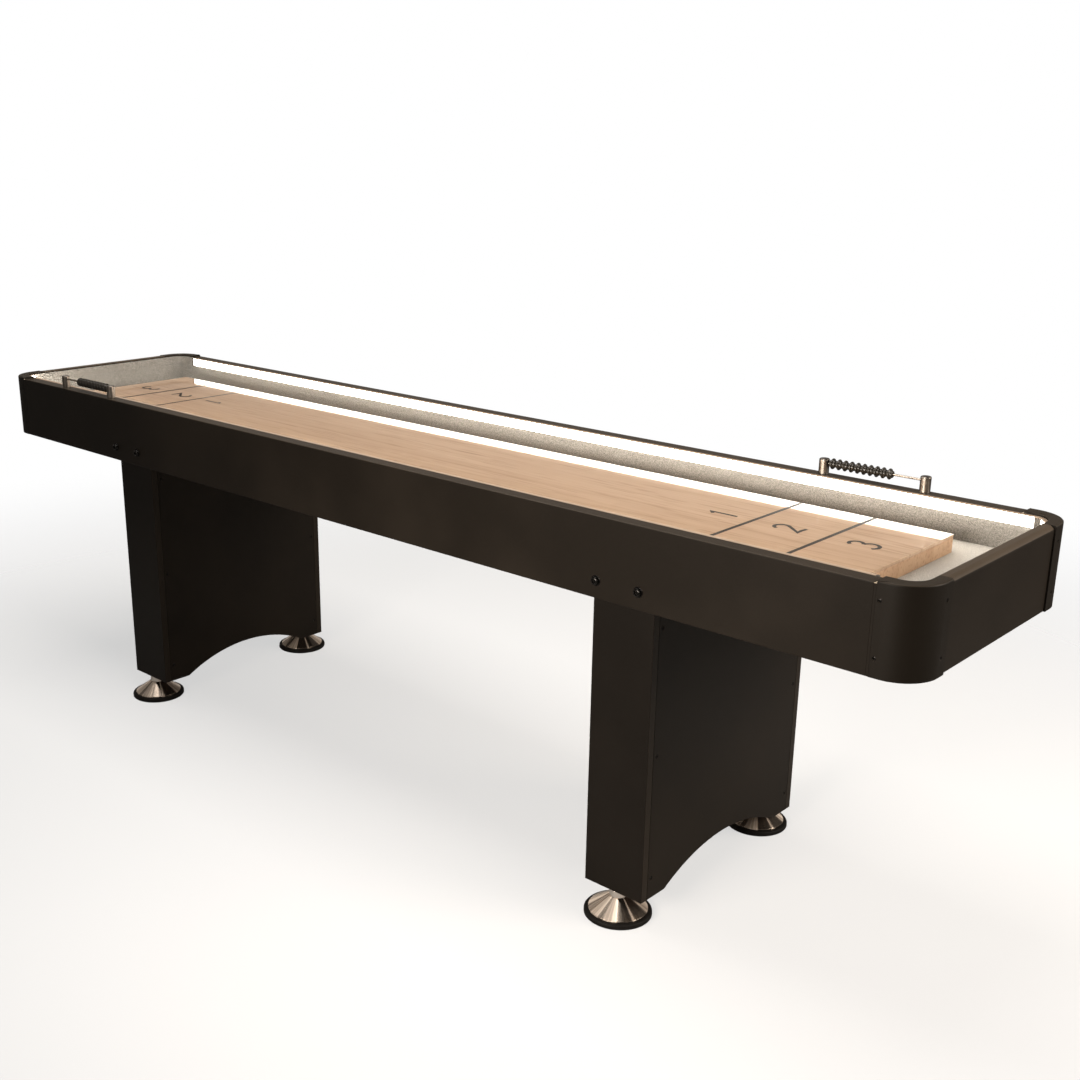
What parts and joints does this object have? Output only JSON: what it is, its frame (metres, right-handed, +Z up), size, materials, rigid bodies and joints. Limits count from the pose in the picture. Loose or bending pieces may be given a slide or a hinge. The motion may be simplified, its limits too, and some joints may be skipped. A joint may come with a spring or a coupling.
{
  "type": "shuffleboard table",
  "caption": "Long shuffleboard table: raised wood playfield in a carpeted, lit trough, box pedestal legs on screw levelers, sliding-bead scorers.",
  "frame": {"origin": "on the floor, under the middle of the table", "axes": "+X along the length, +Y across towards the back rail, +Z up"},
  "size_m": [2.743, 0.6398, 0.8457],
  "materials": {
    "laminate": "satin textured laminate",
    "cap_plastic": "satin",
    "carpet": "short felt pile",
    "playfield_wood": "thick gloss coat",
    "light_diffuser": "translucent, lit",
    "core_wood": "raw",
    "foot_rubber": "matt",
    "chrome": "polished",
    "dark_metal": "satin",
    "rod_steel": "bright",
    "bead_black": "gloss"
  },
  "bodies": {
    "table": {"apron_back": "laminate", "apron_front": "laminate", "end_board_left": "laminate", "end_board_right": "laminate", "corner_cap_left_front": "cap_plastic", "corner_cap_left_back": "cap_plastic", "corner_cap_right_front": "cap_plastic", "corner_cap_right_back": "cap_plastic", "gutter_deck": "carpet", "playfield_board": "playfield_wood", "light_strip_front": "light_diffuser", "light_strip_back": "light_diffuser", "leg_left_face_front": "laminate", "leg_left_face_back": "laminate", "leg_left_panel_inner": "laminate", "leg_left_panel_outer": "laminate", "leg_left_core": "core_wood", "leg_right_face_front": "laminate", "leg_right_face_back": "laminate", "leg_right_panel_inner": "laminate", "leg_right_panel_outer": "laminate", "leg_right_core": "core_wood", "scorer_front_post_inner": "dark_metal", "scorer_front_post_outer": "dark_metal", "scorer_front_rod": "rod_steel", "scorer_back_post_inner": "dark_metal", "scorer_back_post_outer": "dark_metal", "scorer_back_rod": "rod_steel"},
    "foot_left_front": {"foot_left_front_ring": "foot_rubber", "foot_left_front_cone": "chrome"},
    "stem_left_front": {"foot_left_front_stem": "chrome"},
    "foot_left_back": {"foot_left_back_ring": "foot_rubber", "foot_left_back_cone": "chrome"},
    "stem_left_back": {"foot_left_back_stem": "chrome"},
    "foot_right_front": {"foot_right_front_ring": "foot_rubber", "foot_right_front_cone": "chrome"},
    "stem_right_front": {"foot_right_front_stem": "chrome"},
    "foot_right_back": {"foot_right_back_ring": "foot_rubber", "foot_right_back_cone": "chrome"},
    "stem_right_back": {"foot_right_back_stem": "chrome"},
    "bead_front_1": {"scorer_front_bead_1": "bead_black"},
    "bead_front_2": {"scorer_front_bead_2": "bead_black"},
    "bead_front_3": {"scorer_front_bead_3": "bead_black"},
    "bead_front_4": {"scorer_front_bead_4": "bead_black"},
    "bead_front_5": {"scorer_front_bead_5": "bead_black"},
    "bead_front_6": {"scorer_front_bead_6": "bead_black"},
    "bead_front_7": {"scorer_front_bead_7": "bead_black"},
    "bead_front_8": {"scorer_front_bead_8": "bead_black"},
    "bead_front_9": {"scorer_front_bead_9": "bead_black"},
    "bead_front_10": {"scorer_front_bead_10": "bead_black"},
    "bead_back_1": {"scorer_back_bead_1": "bead_black"},
    "bead_back_2": {"scorer_back_bead_2": "bead_black"},
    "bead_back_3": {"scorer_back_bead_3": "bead_black"},
    "bead_back_4": {"scorer_back_bead_4": "bead_black"},
    "bead_back_5": {"scorer_back_bead_5": "bead_black"},
    "bead_back_6": {"scorer_back_bead_6": "bead_black"},
    "bead_back_7": {"scorer_back_bead_7": "bead_black"},
    "bead_back_8": {"scorer_back_bead_8": "bead_black"},
    "bead_back_9": {"scorer_back_bead_9": "bead_black"},
    "bead_back_10": {"scorer_back_bead_10": "bead_black"}
  },
  "joints": [
    {"name": "lift_left_front", "type": "slide", "parent": "table", "child": "foot_left_front", "axis": [0, 0, -1], "range_m": [0, 0.025]},
    {"name": "turn_left_front", "type": "hinge", "parent": "foot_left_front", "child": "stem_left_front", "pos_m": [-0.792, -0.2524, 0.0547], "axis": [0, 0, -1], "range_deg": [0, 5142.86]},
    {"name": "lift_left_back", "type": "slide", "parent": "table", "child": "foot_left_back", "axis": [0, 0, -1], "range_m": [0, 0.025]},
    {"name": "turn_left_back", "type": "hinge", "parent": "foot_left_back", "child": "stem_left_back", "pos_m": [-0.792, 0.2524, 0.0547], "axis": [0, 0, -1], "range_deg": [0, 5142.86]},
    {"name": "lift_right_front", "type": "slide", "parent": "table", "child": "foot_right_front", "axis": [0, 0, -1], "range_m": [0, 0.025]},
    {"name": "turn_right_front", "type": "hinge", "parent": "foot_right_front", "child": "stem_right_front", "pos_m": [0.792, -0.2524, 0.0547], "axis": [0, 0, -1], "range_deg": [0, 5142.86]},
    {"name": "lift_right_back", "type": "slide", "parent": "table", "child": "foot_right_back", "axis": [0, 0, -1], "range_m": [0, 0.025]},
    {"name": "turn_right_back", "type": "hinge", "parent": "foot_right_back", "child": "stem_right_back", "pos_m": [0.792, 0.2524, 0.0547], "axis": [0, 0, -1], "range_deg": [0, 5142.86]},
    {"name": "bead_slide_front_1", "type": "slide", "parent": "table", "child": "bead_front_1", "axis": [-1, 0, 0], "range_m": [0, 0.0565]},
    {"name": "bead_slide_front_2", "type": "slide", "parent": "table", "child": "bead_front_2", "axis": [-1, 0, 0], "range_m": [0, 0.0565]},
    {"name": "bead_slide_front_3", "type": "slide", "parent": "table", "child": "bead_front_3", "axis": [-1, 0, 0], "range_m": [0, 0.0565]},
    {"name": "bead_slide_front_4", "type": "slide", "parent": "table", "child": "bead_front_4", "axis": [-1, 0, 0], "range_m": [0, 0.0565]},
    {"name": "bead_slide_front_5", "type": "slide", "parent": "table", "child": "bead_front_5", "axis": [-1, 0, 0], "range_m": [0, 0.0565]},
    {"name": "bead_slide_front_6", "type": "slide", "parent": "table", "child": "bead_front_6", "axis": [-1, 0, 0], "range_m": [0, 0.0565]},
    {"name": "bead_slide_front_7", "type": "slide", "parent": "table", "child": "bead_front_7", "axis": [-1, 0, 0], "range_m": [0, 0.0565]},
    {"name": "bead_slide_front_8", "type": "slide", "parent": "table", "child": "bead_front_8", "axis": [-1, 0, 0], "range_m": [0, 0.0565]},
    {"name": "bead_slide_front_9", "type": "slide", "parent": "table", "child": "bead_front_9", "axis": [-1, 0, 0], "range_m": [0, 0.0565]},
    {"name": "bead_slide_front_10", "type": "slide", "parent": "table", "child": "bead_front_10", "axis": [-1, 0, 0], "range_m": [0, 0.0565]},
    {"name": "bead_slide_back_1", "type": "slide", "parent": "table", "child": "bead_back_1", "axis": [1, 0, 0], "range_m": [0, 0.0565]},
    {"name": "bead_slide_back_2", "type": "slide", "parent": "table", "child": "bead_back_2", "axis": [1, 0, 0], "range_m": [0, 0.0565]},
    {"name": "bead_slide_back_3", "type": "slide", "parent": "table", "child": "bead_back_3", "axis": [1, 0, 0], "range_m": [0, 0.0565]},
    {"name": "bead_slide_back_4", "type": "slide", "parent": "table", "child": "bead_back_4", "axis": [1, 0, 0], "range_m": [0, 0.0565]},
    {"name": "bead_slide_back_5", "type": "slide", "parent": "table", "child": "bead_back_5", "axis": [1, 0, 0], "range_m": [0, 0.0565]},
    {"name": "bead_slide_back_6", "type": "slide", "parent": "table", "child": "bead_back_6", "axis": [1, 0, 0], "range_m": [0, 0.0565]},
    {"name": "bead_slide_back_7", "type": "slide", "parent": "table", "child": "bead_back_7", "axis": [1, 0, 0], "range_m": [0, 0.0565]},
    {"name": "bead_slide_back_8", "type": "slide", "parent": "table", "child": "bead_back_8", "axis": [1, 0, 0], "range_m": [0, 0.0565]},
    {"name": "bead_slide_back_9", "type": "slide", "parent": "table", "child": "bead_back_9", "axis": [1, 0, 0], "range_m": [0, 0.0565]},
    {"name": "bead_slide_back_10", "type": "slide", "parent": "table", "child": "bead_back_10", "axis": [1, 0, 0], "range_m": [0, 0.0565]}
  ],
  "couplings": [
    {"joint": "turn_left_front", "follows": "lift_left_front", "rad_per_m": 3590.4},
    {"joint": "turn_left_back", "follows": "lift_left_back", "rad_per_m": 3590.4},
    {"joint": "turn_right_front", "follows": "lift_right_front", "rad_per_m": 3590.4},
    {"joint": "turn_right_back", "follows": "lift_right_back", "rad_per_m": 3590.4},
    {"joint": "bead_slide_front_1", "follows": "bead_slide_front_10", "ratio": 1},
    {"joint": "bead_slide_front_2", "follows": "bead_slide_front_10", "ratio": 1},
    {"joint": "bead_slide_front_3", "follows": "bead_slide_front_10", "ratio": 1},
    {"joint": "bead_slide_front_4", "follows": "bead_slide_front_10", "ratio": 1},
    {"joint": "bead_slide_front_5", "follows": "bead_slide_front_10", "ratio": 1},
    {"joint": "bead_slide_front_6", "follows": "bead_slide_front_10", "ratio": 1},
    {"joint": "bead_slide_front_7", "follows": "bead_slide_front_10", "ratio": 1},
    {"joint": "bead_slide_front_8", "follows": "bead_slide_front_10", "ratio": 1},
    {"joint": "bead_slide_front_9", "follows": "bead_slide_front_10", "ratio": 1},
    {"joint": "bead_slide_back_1", "follows": "bead_slide_back_10", "ratio": 1},
    {"joint": "bead_slide_back_2", "follows": "bead_slide_back_10", "ratio": 1},
    {"joint": "bead_slide_back_3", "follows": "bead_slide_back_10", "ratio": 1},
    {"joint": "bead_slide_back_4", "follows": "bead_slide_back_10", "ratio": 1},
    {"joint": "bead_slide_back_5", "follows": "bead_slide_back_10", "ratio": 1},
    {"joint": "bead_slide_back_6", "follows": "bead_slide_back_10", "ratio": 1},
    {"joint": "bead_slide_back_7", "follows": "bead_slide_back_10", "ratio": 1},
    {"joint": "bead_slide_back_8", "follows": "bead_slide_back_10", "ratio": 1},
    {"joint": "bead_slide_back_9", "follows": "bead_slide_back_10", "ratio": 1}
  ]
}
